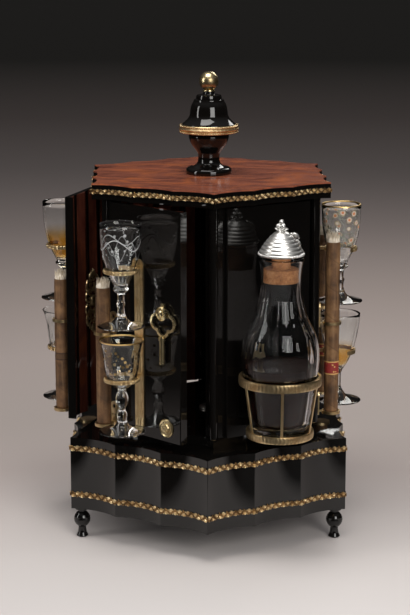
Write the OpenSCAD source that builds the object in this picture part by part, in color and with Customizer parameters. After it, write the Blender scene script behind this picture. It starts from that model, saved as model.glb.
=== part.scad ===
// A six-sided liqueur and cigar tower. A carousel with six doors turns on a footed base,
// and each door carries a decanter, or glasses and cigars, on its inner face. The doors are
// shown folded back, each over the next side, as they stand when the tower is open.
// The origin is on the turning axis, at the level that the feet stand on.

/* [Base] */
// Distance from the turning axis to each corner of the base
base_corner_r = 160; // [152:1:172]
// Height of the base box
base_h = 74.3; // [60:0.1:90]
// Depth of each hollow in the sides of the base
base_scallop = 5.5; // [3:0.5:8]
// Height of the turned feet
foot_h = 31; // [24:1:40]
// Radius of the bulb of a foot
foot_bulb_r = 8.5; // [7:0.5:10]
// Radius of the pad under a foot
foot_pad_r = 6; // [5:0.5:8]
// Distance of the feet from the turning axis
foot_place_r = 148; // [138:1:149]

/* [Gilt bands] */
// Height of the gilt bands round the base
base_band_h = 9.5; // [6:0.5:12]
// How far the gilt bands stand out
band_t = 1.4; // [1:0.1:2]
// Height of the middle of the lower band above the base's underside
low_band_z = 15.3; // [10:0.1:20]
// Height of the middle of the upper band above the base's underside
high_band_z = 63.5; // [50:0.1:64]
// Height of the gilt band on the edge of the lid
lid_band_h = 7.5; // [5:0.5:9]

/* [Carousel] */
// Angle at which the carousel stands on the base
carousel_rest = 2.6; // [0:0.1:10]
// Distance from the turning axis to each corner of the cabinet
body_corner_r = 116; // [114:0.5:118]
// Thickness of the floor plate
floor_t = 9.5; // [7:0.5:12]
// Depth of the hollows in the edge of the floor plate
floor_scallop = 3; // [2:0.5:4]
// Height of the opening between floor and lid
opening_h = 231; // [225:1:260]
// Width of a corner post along each side of the cabinet
post_w = 8.5; // [7:0.5:9]
// Depth of a corner post at the edge of an opening
post_d = 6.4; // [5:0.2:7]
// Radius of the pin that the carousel turns on
turn_pin_r = 5; // [4:0.5:8]

/* [Lid] */
// Distance from the turning axis to each corner of the lid
lid_corner_r = 135.8; // [132:0.1:145]
// Thickness of the lid with its veneer
lid_t = 15.6; // [14:0.1:20]
// Thickness of the burr veneer on the lid
veneer_t = 1.3; // [1:0.1:2]
// Depth of each hollow in the edge of the lid
lid_scallop = 5; // [3:0.5:6]

/* [Finial] */
// Radius of the disc that the finial stands on
finial_foot_r = 22.8; // [18:0.1:28]
// Radius of the bowl of the finial
finial_bowl_r = 20.2; // [16:0.1:24]
// Radius of the gilt ring round the finial
finial_ring_r = 30.2; // [25:0.1:36]
// Height of the turned wood of the finial
finial_h = 83; // [70:1:95]
// Radius of the brass ball on top
ball_r = 9.8; // [7:0.1:12]
// Radius of the brass spindle through the lid
spindle_r = 4; // [3:0.5:6]

/* [Doors] */
// Distance from the turning axis to each door's pivot
hinge_r = 119.5; // [119.5:0.1:120.5]
// Radius of the rounded stile that a door turns on
stile_r = 4.5; // [3.5:0.1:4.6]
// Distance from a door's pivot to the near edge of its panel
panel_near = 11.5; // [10.5:0.5:13]
// Distance from a door's pivot to the far edge of its panel
panel_far = 108; // [104:0.5:108.5]
// Distance from the pivot line to the flat inner face of a door
panel_in = 6; // [5:0.5:7]
// Distance from the pivot line to the ridges of the veneered outer face
panel_out = 3; // [2.5:0.5:4]
// Depth of each hollow in the veneered face
panel_scallop = 4; // [3:0.5:5]
// Radius of the pivot pins
hinge_pin_r = 1.5; // [1:0.1:2]

/* [Decanters] */
// Distance of a decanter's axis from the door's pivot, along the door
decanter_p = 47.5; // [46:0.5:49]
// Distance of a decanter's axis from the pivot line, away from the door
decanter_a = 46; // [45.8:0.1:46.8]
// Height of a decanter without its stopper
decanter_h = 173; // [160:1:185]
// Greatest radius of a decanter
decanter_r = 38.2; // [35:0.1:38.6]
// Number of flutes round a decanter
flute_count = 16; // [12:2:24]
// Depth of the flutes
flute_depth = 1.1; // [0.5:0.1:2]
// Thickness of the decanter's glass
decanter_wall = 2.6; // [2:0.1:4]
// Height of the liquor above the decanter's inner floor
liquor_h = 62; // [20:1:90]
// Height of a decanter's foot above the door's lower edge
decanter_lift = 10; // [6:1:14]
// Radius of the stopper's silver cap
cap_r = 22.3; // [20:0.1:25]

/* [Glasses] */
// Distance of the glasses' axis from the door's pivot, along the door
glass_p = 52.5; // [50:0.5:56]
// Distance of the glasses' axis from the pivot line
glass_a = 31; // [30.5:0.5:33]
// Height of an upper glass
upper_glass_h = 101; // [90:1:110]
// Height of a lower glass
lower_glass_h = 92.7; // [80:0.1:98]
// Radius of an upper glass at its rim
upper_rim_r = 20.3; // [18:0.1:22]
// Radius of a lower glass at its rim
lower_rim_r = 22.2; // [19:0.1:23]
// Radius of the foot of a glass
glass_foot_r = 23; // [18:0.1:23.2]
// Thickness of the glasses' walls
glass_wall = 1.2; // [0.8:0.1:1.8]
// Height of a lower glass's foot above the door's lower edge
lower_glass_lift = 8; // [6:0.5:12]
// Gap between a lower glass and the foot of the upper one
glass_gap = 12.9; // [8:0.1:20]

/* [Cigars] */
// Radius of a cigar
cigar_r = 7.6; // [6:0.1:8]
// Distance of a near cigar from the door's pivot, along the door
near_cigar_p = 14.5; // [14:0.5:16]
// Distance of a far cigar from the door's pivot, along the door
far_cigar_p = 94; // [93.5:0.5:95]
// The same distance on the back right door, whose far cigar passes a near one as it shuts
back_far_cigar_p = 91; // [88:0.5:91]
// Distance of the near cigars' axis from the pivot line
near_cigar_a = 19.5; // [18:0.5:21]
// Distance of the far cigars' axis from the pivot line
far_cigar_a = 16.8; // [16.4:0.2:18]
// Thickness of the gilt rings that hold glasses and cigars
wire_t = 1.3; // [1:0.1:1.6]

/* [Key] */
// Distance of the key's boss from the door's pivot, along the door
key_p = 87.5; // [82:0.5:92]
// Height of the key's boss above the door's lower edge
key_z = 128.5; // [110:0.5:150]
// Radius of the keyhole rosette
rosette_r = 9.2; // [7:0.1:11]

/* [Hidden] */
$fn = 64;
SIDES = ["front_right", "right", "back_right", "back_left", "left", "front_left"];
// Angle between each door and the side it lies over
door_off = [1, 0.5, 8, 1, 19.5, 16];
decanter_sides = [0, 3];
glass_sides = [1, 2, 4, 5];
far_cigar_sides = [1, 2, 4];
key_side = 5;
cigar_lengths = [0, 188, 160, 0, 154, 151];

function named(stem, list) = [for (k = list) str(stem, "_", SIDES[k])];

running = 0.05;
slack = 0.3;
base_top = foot_h + base_h;
floor_z = base_top + slack;
floor_top = floor_z + floor_t;
lid_z = floor_top + opening_h;
lid_top = lid_z + lid_t;
door_z = floor_top + 1;
door_top = lid_z - 2;
door_h = door_top - door_z;
face_n = body_corner_r * cos(30);
seat_t = 0.5;
panel_w = panel_far - panel_near;

gilt = "#c9a24a";
black = "#15130f";
burr = "#6e2f1a";
clear_glass = "#dfe8e8";

// Places a child in the frame of a corner: X outwards through the corner
module at_corner(k) rotate(-90 + 60 * k) children();

// Places a child in the frame of a carousel corner
module on_carousel(k) rotate(carousel_rest) at_corner(k) children();

// Places a child in the frame of a door: X away from its inner face, Y along it from the pivot
module on_door(k) on_carousel(k) translate([hinge_r, 0, door_z]) rotate(30 - door_off[k]) children();

// Radius of the arc that hollows a chord by a given depth
function arc_r(chord, depth) = (chord * chord / 4 + depth * depth) / (2 * depth);

// Width of the narrow flat left between two hollows
land = 0.8;

// A six-sided plate with three shallow hollows in every side
module scalloped(corner_r, depth, h, grow = 0) {
    chord = corner_r / 3;
    r = arc_r(chord - land, depth);
    reach = corner_r * cos(30) - depth + r;
    difference() {
        rotate(30) cylinder(r = corner_r + grow / cos(30), h = h, $fn = 6);
        for (side = [0:5], third = [-1:1])
            rotate(60 * side)
                translate([reach, third * chord, -1])
                    cylinder(r = r - grow, h = h + 2, $fn = 96);
    }
}

// A gilt band that follows the edge of a scalloped plate
module edge_band(corner_r, depth, h) {
    difference() {
        scalloped(corner_r, depth, h, band_t);
        translate([0, 0, -1]) scalloped(corner_r, depth, h + 2);
    }
}

module base_box() {
    color(black) translate([0, 0, foot_h]) scalloped(base_corner_r, base_scallop, base_h);
}

module base_garlands() {
    color(gilt)
        for (z = [low_band_z, high_band_z])
            translate([0, 0, foot_h + z - base_band_h / 2])
                edge_band(base_corner_r, base_scallop, base_band_h);
}

// One turned foot: pad, waist, bulb and collar
module foot() {
    waist_r = foot_pad_r - 2;
    bulb_z = foot_h * 0.6;
    rotate_extrude()
        difference() {
            polygon(concat(
                [[0, 0], [foot_pad_r - 0.8, 0], [foot_pad_r, 1.2], [waist_r + 0.6, foot_h * 0.14]],
                [[waist_r, foot_h * 0.26]],
                [for (t = [-60:15:60]) [waist_r + (foot_bulb_r - waist_r) * cos(t * 1.5),
                    bulb_z + foot_h * 0.3 * sin(t)]],
                [[waist_r, foot_h * 0.9], [foot_bulb_r - 1.5, foot_h * 0.93]],
                [[foot_bulb_r - 1.5, foot_h], [0, foot_h]]));
            translate([-1, -1]) square([1, foot_h + 2]);
        }
}

module base_feet() {
    color(black)
        for (k = [1, 3, 5])
            at_corner(k) translate([foot_place_r, 0, 0]) foot();
}

// The pin stands on the base, passes through the floor and keeps it down with its head
module turning_pin() {
    head_z = floor_top + slack - base_top;
    color(gilt) translate([0, 0, base_top])
        rotate_extrude()
            polygon([[0, 0], [turn_pin_r, 0], [turn_pin_r, head_z], [2 * turn_pin_r, head_z],
                [2 * turn_pin_r, head_z + 1.5], [1.6 * turn_pin_r, head_z + 3], [0, head_z + 3.4]]);
}

module floor_plate() {
    color(black) rotate(carousel_rest) translate([0, 0, floor_z])
        difference() {
            scalloped(body_corner_r + 2, floor_scallop, floor_t);
            translate([0, 0, -1]) cylinder(r = turn_pin_r + running, h = floor_t + 2);
        }
}

// A post fills the corner between two openings and is coved round the door's stile
module corner_posts() {
    edge = [body_corner_r - post_w / 2, post_w * cos(30)];
    inner = edge - post_d * [cos(30), sin(30)];
    color(black)
        for (k = [0:5])
            on_carousel(k) translate([0, 0, floor_top])
                difference() {
                    linear_extrude(opening_h)
                        polygon([[body_corner_r, 0], edge, inner,
                            [inner[0], -inner[1]], [edge[0], -edge[1]]]);
                    translate([hinge_r, 0, -1]) cylinder(r = stile_r + 0.4, h = opening_h + 2);
                }
}

module lid() {
    color(black) rotate(carousel_rest) translate([0, 0, lid_z])
        difference() {
            scalloped(lid_corner_r, lid_scallop, lid_t - veneer_t);
            translate([0, 0, -1]) cylinder(r = spindle_r + running, h = lid_t + 2);
        }
}

module lid_veneer() {
    color(burr) rotate(carousel_rest) translate([0, 0, lid_top - veneer_t])
        difference() {
            scalloped(lid_corner_r, lid_scallop, veneer_t);
            translate([0, 0, -1]) cylinder(r = spindle_r + running, h = veneer_t + 2);
        }
}

module lid_garland() {
    color(gilt) rotate(carousel_rest) translate([0, 0, lid_z + (lid_t - lid_band_h) / 2])
        edge_band(lid_corner_r, lid_scallop, lid_band_h);
}

// A pivot pin with the collar that the door's stile runs on
module hinge_pin() {
    rotate_extrude($fn = 32)
        polygon([[0, 0], [2 * hinge_pin_r, 0], [2 * hinge_pin_r, seat_t], [hinge_pin_r, seat_t],
            [hinge_pin_r, 9], [hinge_pin_r - 0.5, 9.5], [0, 9.5]]);
}

module hinge_pins() {
    color(gilt)
        for (k = [0:5])
            on_carousel(k) {
                translate([hinge_r, 0, floor_top]) hinge_pin();
                translate([hinge_r, 0, lid_z]) mirror([0, 0, 1]) hinge_pin();
            }
}

// The turned wood: foot disc, neck, bowl, and the dome that rises inside the gilt ring
module finial() {
    h = finial_h;
    color(black) translate([0, 0, lid_top + slack])
        rotate_extrude()
            polygon(concat(
                [[spindle_r, 0], [finial_foot_r, 0], [finial_foot_r + 0.6, h * 0.03]],
                [[finial_foot_r, h * 0.07]],
                [for (t = [0:15:90]) [finial_foot_r - 1.5 - 10.4 * sin(t), h * 0.07 + 9 * (1 - cos(t))]],
                [[finial_bowl_r - 9.3, h * 0.25]],
                [for (t = [0:15:90]) [finial_bowl_r - 9.3 * cos(t), h * 0.26 + h * 0.2 * sin(t)]],
                [[finial_bowl_r - 3, h * 0.49], [finial_ring_r - 3, h * 0.5], [finial_ring_r - 3, h * 0.6]],
                [[finial_ring_r - 5, h * 0.63], [finial_bowl_r - 0.5, h * 0.7]],
                [for (t = [0:15:75]) [finial_bowl_r - 7 + 6 * cos(t), h * 0.72 + h * 0.17 * sin(t)]],
                [[12.6, h * 0.91], [12.6, h * 0.955], [6, h * 0.965], [5.4, h], [spindle_r, h]]));
}

// The gilt ring sits round the widest part of the wood, edged with beads
module finial_ring() {
    bead_r = 1.5;
    beads = 60;
    ring_z = lid_top + slack + finial_h * 0.5;
    ring_h = finial_h * 0.1;
    color(gilt) translate([0, 0, ring_z])
        union() {
            difference() {
                cylinder(r = finial_ring_r - bead_r / 2, h = ring_h);
                translate([0, 0, -1]) cylinder(r = finial_ring_r - 3, h = ring_h + 2);
            }
            for (i = [0:beads - 1])
                rotate(i * 360 / beads)
                    translate([finial_ring_r - bead_r, 0, 1])
                        cylinder(r = bead_r, h = ring_h - 2, $fn = 16);
        }
}

module finial_ball() {
    color(gilt) translate([0, 0, lid_top + slack + finial_h])
        rotate_extrude()
            polygon(concat(
                [[0, 0], [6.4, 0], [6.4, 1.2], [4.5, 1.6]],
                [for (t = [-62:8:90]) [ball_r * cos(t), 1.6 + ball_r * (0.88 + sin(t))]]));
}

// The spindle joins the finial to the works in the lid, with a nut under the lid
module finial_spindle() {
    nut_h = 3;
    color(gilt) translate([0, 0, lid_z - slack - nut_h]) {
        cylinder(r = spindle_r, h = nut_h + lid_t + 2 * slack + finial_h);
        cylinder(r = 2 * spindle_r, h = nut_h, $fn = 6);
    }
}

// A door: flat inside, three hollows outside, and a rounded stile on the pivot line
module door(k) {
    chord = panel_w / 3;
    r = arc_r(chord - land, panel_scallop);
    edge = 0.8;
    web_t = 3;
    stile_low = floor_top + seat_t + slack - door_z;
    stile_h = opening_h - 2 * (seat_t + slack);
    color(black) on_door(k)
        difference() {
            union() {
                linear_extrude(door_h)
                    polygon([[-panel_out, panel_near], [panel_in - edge, panel_near],
                        [panel_in, panel_near + edge], [panel_in, panel_far - edge],
                        [panel_in - edge, panel_far], [-panel_out, panel_far]]);
                translate([-web_t / 2, 0, 0]) cube([web_t, panel_near + 1, door_h]);
                translate([0, 0, stile_low]) cylinder(r = stile_r, h = stile_h);
            }
            for (third = [0.5:2.5])
                translate([-panel_out + panel_scallop - r, panel_near + third * chord, -1])
                    cylinder(r = r, h = door_h + 2, $fn = 96);
            translate([0, 0, stile_low - 1]) cylinder(r = hinge_pin_r + running, h = 11, $fn = 32);
            translate([0, 0, stile_low + stile_h - 10])
                cylinder(r = hinge_pin_r + running, h = 11, $fn = 32);
        }
}

// A ring-shaped scroll of the openwork mounts
module scroll(r, w) difference() {
    circle(r = r, $fn = 24);
    circle(r = r - w, $fn = 24);
}

// The gilt openwork mount on the middle of a door's veneered face
module door_mount(k) {
    mount_t = 1.6;
    stem = 2.2;
    color(gilt) on_door(k)
        translate([-panel_out, (panel_near + panel_far) / 2, door_h / 2])
            rotate([0, -90, 0])
                linear_extrude(mount_t) offset(delta = 0.15) {
                    scale([1, 0.8]) scroll(14, stem);
                    for (x = [-1, 1], y = [-1, 1]) {
                        translate([x * 18, y * 11]) scroll(7.4, stem);
                        translate([x * 7, y * 15]) scroll(5.3, stem);
                    }
                    for (x = [-1, 1], t = [-44:22:44])
                        translate([x * 12, 0]) rotate((x > 0 ? 0 : 180) + t)
                            translate([0, -stem / 2]) square([22 - abs(t) / 8, stem]);
                }
}

// Profile of the decanter, as radius and height in millimetres at its drawn size
decanter_curve = [[27, 0], [28.5, 1.5], [31, 18], [34, 37], [36.4, 56], [37.9, 72], [38.2, 80],
    [37.5, 88], [35, 97], [31.4, 105], [27.8, 112], [24.6, 120], [22.3, 129], [20.5, 138],
    [19.7, 147], [19.7, 157], [20.4, 164], [21.4, 170], [21.8, 173]];
drawn_h = 173;
drawn_r = 38.2;
function decanter_point(i) = [decanter_curve[i][0] * decanter_r / drawn_r,
    decanter_curve[i][1] * decanter_h / drawn_h];
// Radius of the decanter's outside at a height above its foot
function decanter_at(z) = let (x = decanter_curve) lookup(z * drawn_h / decanter_h,
    [for (q = x) [q[1], q[0]]]) * decanter_r / drawn_r;
decanter_floor = 6;
inner_rings = 14;
// Radius of the hollow of the decanter at a height above its foot
function hollow_at(z) = decanter_at(z) - decanter_wall - (z < decanter_floor + 6 ? 3 : 0);
// How far the mouth is drawn out into its pouring lip, on the side that faces the pivot
function lip(z, a) = let (top = (z - decanter_h + 16) / 16, turn = max(0, cos(a + 90)))
    top > 0 ? 3.2 * top * top * pow(turn, 6) : 0;

// A round of the decanter's wall; fluted rounds have a hollow at every other point
function wall_round(r, z, depth, rise) = [for (i = [0:2 * flute_count - 1])
    let (a = i * 180 / flute_count, c = r - (i % 2) * depth + lip(z, a))
        [c * cos(a), c * sin(a), z + rise * lip(z, a) * 0.6]];

module decanter_glass() {
    n = 2 * flute_count;
    outer = [for (i = [0:len(decanter_curve) - 1]) let (q = decanter_point(i))
        wall_round(q[0], q[1], i == 0 || q[1] > decanter_h - 12 ? 0.15 : flute_depth, 1)];
    inner = [for (j = [0:inner_rings])
        let (z = hollow_round(j))
            wall_round(hollow_at(z), z, 0, j == 0 ? 1 : 0)];
    rounds = concat(outer, inner);
    last = len(rounds) - 1;
    points = concat([for (row = rounds) each row],
        [[0, 0, 0], [0, 0, decanter_floor]]);
    walls = [for (j = [0:last - 1], i = [0:n - 1]) let (m = (i + 1) % n)
        each [[j * n + i, (j + 1) * n + i, (j + 1) * n + m], [j * n + i, (j + 1) * n + m, j * n + m]]];
    ends = [for (i = [0:n - 1]) let (m = (i + 1) % n)
        each [[n * (last + 1), i, m], [n * (last + 1) + 1, last * n + m, last * n + i]]];
    polyhedron(points, concat(walls, ends), convexity = 6);
}

// Places a child on the axis of a door's decanter, at its foot
module at_decanter(k) on_door(k) translate([decanter_a, decanter_p, decanter_lift]) children();

module decanter(k) color(clear_glass) at_decanter(k) decanter_glass();

// Heights of the rounds of the hollow, from the mouth down to its floor
function hollow_round(j) = decanter_h - (decanter_h - decanter_floor) * j / inner_rings;
hollow_line = [for (j = [inner_rings:-1:0]) [hollow_round(j), hollow_at(hollow_round(j))]];

module liquor(k) {
    film = 0.4;
    low = decanter_floor + film;
    top = low + liquor_h;
    levels = concat([low], [for (q = hollow_line) if (q[0] > low && q[0] < top) q[0]], [top]);
    color("#2a0d06") at_decanter(k)
        rotate_extrude()
            polygon(concat([[0, low]],
                [for (z = levels) [lookup(z, hollow_line) * cos(90 / flute_count) - film, z]],
                [[0, top]]));
}

// The cork's height in the neck, from its foot to the underside of the silver cap
cork_z = decanter_h - 27;
cap_z = decanter_h + 3;

module cork(k) {
    color("#8a5a2c") at_decanter(k) translate([0, 0, cork_z])
        cylinder(r1 = hollow_at(cork_z) * cos(90 / flute_count) - 0.3, r2 = 16.6, h = cap_z - cork_z);
}

// The silver cap: a grooved dome with a three-lobed bud on top
module cap(k) {
    dome_h = 24;
    color("#d9dbe0") at_decanter(k) translate([0, 0, cap_z]) {
        rotate_extrude()
            polygon(concat([[0, 0], [cap_r - 1, 0], [cap_r, 1.2], [cap_r - 0.6, 2.6]],
                [for (t = [6:4:82]) [(cap_r - 0.8) * cos(t) + 0.7 * cos(t * 22), 2.6 + (dome_h - 3) * sin(t)]],
                [[0, dome_h]]));
        translate([0, 0, dome_h - 1.5]) {
            cylinder(r1 = 3.2, r2 = 1.6, h = 5, $fn = 24);
            for (i = [0:2])
                rotate(120 * i) translate([2.6, 0, 5.6]) sphere(r = 2.7, $fn = 24);
            translate([0, 0, 9.4]) sphere(r = 2.6, $fn = 24);
        }
    }
}

// The gilt basket: two bands joined by straps, with arms to a leaf plate on the door
holder_z = 54;
band_w = 8;
module holder(k) {
    top_r = decanter_at(holder_z + band_w / 2) + 0.5;
    low_r = decanter_at(8) + 0.5;
    strap = 2.6;
    plate_a = panel_in - decanter_a;
    color(gilt) at_decanter(k) {
        difference() {
            translate([0, 0, holder_z - band_w / 2]) cylinder(r = top_r + 2.6, h = band_w);
            translate([0, 0, holder_z - band_w]) cylinder(r = top_r, h = 2 * band_w);
        }
        difference() {
            translate([0, 0, -2.5]) cylinder(r = low_r + 2.4, h = 7);
            translate([0, 0, -slack]) cylinder(r = low_r, h = 12);
        }
        for (t = [30:60:330])
            rotate(t) {
                rise = holder_z - 6;
                translate([low_r + 0.6, -strap / 2, 2])
                    multmatrix([[1, 0, (top_r - low_r + 0.6) / rise, 0], [0, 1, 0, 0], [0, 0, 1, 0]])
                        cube([1.2, strap, rise]);
            }
        for (z = [0, holder_z - 2])
            translate([plate_a + 1, -3, z - 1])
                cube([-plate_a - (z > 0 ? top_r + 1 : low_r + 0.6), 6, 3]);
        translate([plate_a, 0, -4]) rotate([90, 0, 90])
            linear_extrude(1.6) {
                translate([-5, 0]) square([10, 62]);
                translate([0, 66]) scale([0.7, 1]) circle(r = 12);
                translate([-1.6, 62]) square([3.2, 24]);
            }
    }
}

// Profile of a bowl between its stem and its rim, from fractions of radius and height
function bowl(rim_r, low_z, h, shape) = [for (q = shape) [rim_r * q[0], low_z + (h - low_z) * q[1]]];
upper_shape = [[0.3, 0], [0.49, 0.12], [0.69, 0.27], [0.87, 0.48], [0.96, 0.7], [1, 1]];
lower_shape = [[0.3, 0], [0.52, 0.1], [0.67, 0.22], [0.76, 0.42], [0.81, 0.66], [0.9, 0.9], [1, 1]];
slim_shape = [[0.2, 0], [0.45, 0.14], [0.68, 0.34], [0.85, 0.58], [0.95, 0.8], [1, 1]];
function reversed(list) = [for (i = [len(list) - 1:-1:0]) list[i]];
function drawn_in(list, wall) = [for (q = list) [max(0.2, q[0] - wall), q[1]]];

// A stemmed glass: a turned foot and stem, and an open bowl with a wall of even thickness
module stemware(rim_r, h, low_z, shape, stem) {
    outside = bowl(rim_r, low_z, h, shape);
    inside = drawn_in(bowl(rim_r, low_z + 3, h, shape), glass_wall);
    rotate_extrude($fn = 48)
        polygon(concat([[0, 0], [glass_foot_r, 0], [glass_foot_r, 1]],
            [[glass_foot_r * 0.5, 4], [glass_foot_r * 0.26, 8]],
            stem, outside, reversed(inside), [[0, inside[0][1]]]));
}

upper_bowl_z = 39;
lower_bowl_z = 45;
slim_bowl_z = 34;
module upper_goblet() stemware(upper_rim_r, upper_glass_h, upper_bowl_z, upper_shape,
    [[3.8, 13], [3.4, 19], [4.4, 23], [3.4, 27], [3.6, 33], [7.4, 36], [7.8, 38], [6, 38.6]]);
module lower_goblet() stemware(lower_rim_r, lower_glass_h, lower_bowl_z, lower_shape,
    [[4.6, 14], [5.2, 19], [3.4, 21.5], [3.3, 25], [5.6, 30], [6.3, 35], [5.4, 39], [3.8, 42], [6, 44]]);
module slim_goblet() stemware(lower_rim_r - 1, lower_glass_h, slim_bowl_z, slim_shape,
    [[2.6, 14], [2.1, 20], [2.1, 28], [3, 31], [4, 33]]);

upper_lift = lower_glass_lift + lower_glass_h + glass_gap;
module at_glass(k, lift) on_door(k) translate([glass_a, glass_p, lift]) children();
module upper_glass(k) color(clear_glass) at_glass(k, upper_lift) upper_goblet();
module lower_glass(k)
    color(clear_glass) at_glass(k, lower_glass_lift) {
        if (k == 1) slim_goblet();
        else lower_goblet();
    }

// Radius of a bowl's outside at a height above the glass's foot
function bowl_at(rim_r, low_z, h, shape, z) =
    lookup(z, [for (q = bowl(rim_r, low_z, h, shape)) [q[1], q[0]]]);

// A ring that a bowl hangs in, open towards the pivot so that the stem can pass
module glass_ring(r, gap) {
    ring_h = 4;
    translate([0, 0, -ring_h])
        difference() {
            cylinder(r = r + wire_t + 0.6, h = ring_h);
            translate([0, 0, -1]) cylinder(r = r, h = ring_h + 2);
            translate([-gap / 2, -r - 6, -1]) cube([gap, r, ring_h + 2]);
        }
}

function far_p(k) = k == 2 ? back_far_cigar_p : far_cigar_p;
cup_lift = 5;
cigar_lift = cup_lift + 1.3;
upper_clip = 92;
// A cigar's two rings, the lower one with a floor, each on a small pierced plate
module cigar_clips(p, a) {
    r = cigar_r + 0.5;
    plate_w = 8.8;
    // The plate by the pivot stands a little aside, clear of the post when the door is shut
    aside = p < glass_p ? 1.2 : 0;
    translate([a, p, 0]) {
        for (z = [cup_lift, cup_lift + upper_clip])
            translate([0, 0, z]) {
                difference() {
                    translate([0, 0, z == cup_lift ? -0.3 : 1]) cylinder(r = r + wire_t, h = 3);
                    translate([0, 0, z == cup_lift ? 1 : 0]) cylinder(r = r, h = 5);
                }
                translate([panel_in - a + 1, -1.5, 1]) cube([a - panel_in - r - 1.4, 3, 1.6]);
                translate([panel_in - a, aside, -2]) rotate([90, 0, 90])
                    linear_extrude(1.5)
                        difference() {
                            union() {
                                translate([-plate_w / 2 + 1, 0]) square([plate_w - 2, 20]);
                                translate([0, 20]) circle(r = plate_w / 2);
                            }
                            translate([0, 19.5]) circle(r = 2.2);
                            for (x = [-1, 1])
                                translate([x * 1.8, 11]) circle(r = 1.1);
                        }
            }
    }
}

// The gilt rack: a reeded bar with two glass rings, and the cigars' clips beside it
upper_hold = 57;
lower_hold = 55;
bar_w = 12;
bar_t = 1.4;
module rack(k) {
    lower_low = k == 1 ? slim_bowl_z : lower_bowl_z;
    lower_form = k == 1 ? slim_shape : lower_shape;
    lower_rim = k == 1 ? lower_rim_r - 1 : lower_rim_r;
    top_z = upper_lift + upper_hold;
    low_z = lower_glass_lift + lower_hold;
    top_r = bowl_at(upper_rim_r, upper_bowl_z, upper_glass_h, upper_shape, upper_hold) + slack;
    low_r = bowl_at(lower_rim, lower_low, lower_glass_h, lower_form, lower_hold) + slack;
    color(gilt) on_door(k) {
        difference() {
            union() {
                translate([panel_in, glass_p - bar_w / 2, 9]) cube([bar_t, bar_w, top_z - 9]);
                translate([panel_in, glass_p, top_z]) rotate([0, 90, 0])
                    cylinder(r = bar_w / 2, h = bar_t);
            }
            for (i = [-1:1])
                translate([panel_in + bar_t + 1.1, glass_p + i * 3.6, 8])
                    cylinder(r = 1.6, h = top_z - 10, $fn = 24);
        }
        translate([glass_a, glass_p, top_z]) glass_ring(top_r, 17);
        translate([glass_a, glass_p, low_z]) glass_ring(low_r, 14);
        translate([panel_in + bar_t - 0.4, glass_p - 2, top_z - 3])
            cube([glass_a - panel_in - bar_t - top_r - 0.4, 4, 3]);
        translate([panel_in + bar_t - 0.4, glass_p - 2, low_z - 3])
            cube([glass_a - panel_in - bar_t - low_r - 0.4, 4, 3]);
        cigar_clips(near_cigar_p, near_cigar_a);
        if (k != key_side) cigar_clips(far_p(k), far_cigar_a);
    }
}

// A cigar: rounded foot, slightly bulged body, and a pale frayed tip
module cigar(long) {
    r = cigar_r;
    rotate_extrude($fn = 40)
        polygon([[0, 0], [r - 2, 0], [r - 0.4, 2], [r - 0.1, 8], [r, long * 0.5], [r - 0.2, long - 16],
            [r - 0.8, long - 12], [r - 1.4, long - 4], [r - 3, long], [0, long]]);
}

module near_cigar(k)
    color("#7a4a1e") on_door(k) translate([near_cigar_a, near_cigar_p, cigar_lift]) cigar(cigar_lengths[k]);
module far_cigar(k)
    color("#7a4a1e") on_door(k) translate([far_cigar_a, far_p(k), cigar_lift]) cigar(cigar_lengths[k] - 6);

// The boss that the key hangs on: a stem through the bow and a ringed head
boss_r = 2.4;
bow_t = 2.4;
bow_a = panel_in + 1.4;
module key_boss() {
    color(gilt) on_door(key_side) translate([panel_in, key_p, key_z]) rotate([0, 90, 0])
        rotate_extrude($fn = 40)
            polygon([[0, 0], [boss_r, 0], [boss_r, 4.6], [7, 4.6], [7, 5.8], [5.6, 6.6], [5.2, 5.9],
                [3.8, 5.9], [3.4, 7], [2, 7.6], [0, 7.8]]);
}

// Four lobes of the key's bow, at a given radius each
module quatrefoil(r) {
    for (x = [-1, 1]) translate([x * 8, 0]) circle(r = r, $fn = 40);
    for (y = [-1, 1]) translate([0, y * 6]) circle(r = r, $fn = 40);
    square(r, center = true);
}

// The key hangs by its bow; its hollow shaft ends in a square socket
module key() {
    shaft_r = 2.7;
    drop = 6 + 6.1 - boss_r - 0.2;
    color("#b9953f") on_door(key_side) translate([bow_a, key_p, key_z - drop])
        difference() {
            union() {
                rotate([90, 0, 90]) linear_extrude(bow_t) difference() {
                    quatrefoil(8.8);
                    quatrefoil(6.1);
                }
                translate([0, -2.2, 14]) cube([bow_t, 4.4, 5]);
                translate([shaft_r, 0, -41]) cylinder(r = shaft_r, h = 28, $fn = 32);
                translate([shaft_r, 0, -17]) cylinder(r = 3.6, h = 3, $fn = 32);
            }
            translate([shaft_r - 1.3, -1.3, -42]) cube([2.6, 2.6, 16]);
        }
}

module rosette() {
    color(gilt) on_door(key_side) translate([panel_in, key_p + 1.5, 13.6]) rotate([0, 90, 0])
        rotate_extrude($fn = 48)
            polygon([[0, 0], [rosette_r, 0], [rosette_r, 1], [rosette_r - 1, 1.8], [rosette_r - 2.2, 1.2],
                [4.4, 1], [3.8, 2.2], [2.6, 2.4], [1.6, 1.4], [0, 1.4]]);
}

base_box();
base_garlands();
base_feet();
turning_pin();
floor_plate();
corner_posts();
lid();
lid_veneer();
lid_garland();
hinge_pins();
finial();
finial_ring();
finial_ball();
finial_spindle();
key();
key_boss();
rosette();
for (k = [0:5]) door(k);
for (k = [0:5]) door_mount(k);
for (k = decanter_sides) holder(k);
for (k = decanter_sides) decanter(k);
for (k = decanter_sides) liquor(k);
for (k = decanter_sides) cork(k);
for (k = decanter_sides) cap(k);
for (k = glass_sides) rack(k);
for (k = glass_sides) upper_glass(k);
for (k = glass_sides) lower_glass(k);
for (k = glass_sides) near_cigar(k);
for (k = far_cigar_sides) far_cigar(k);
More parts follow.
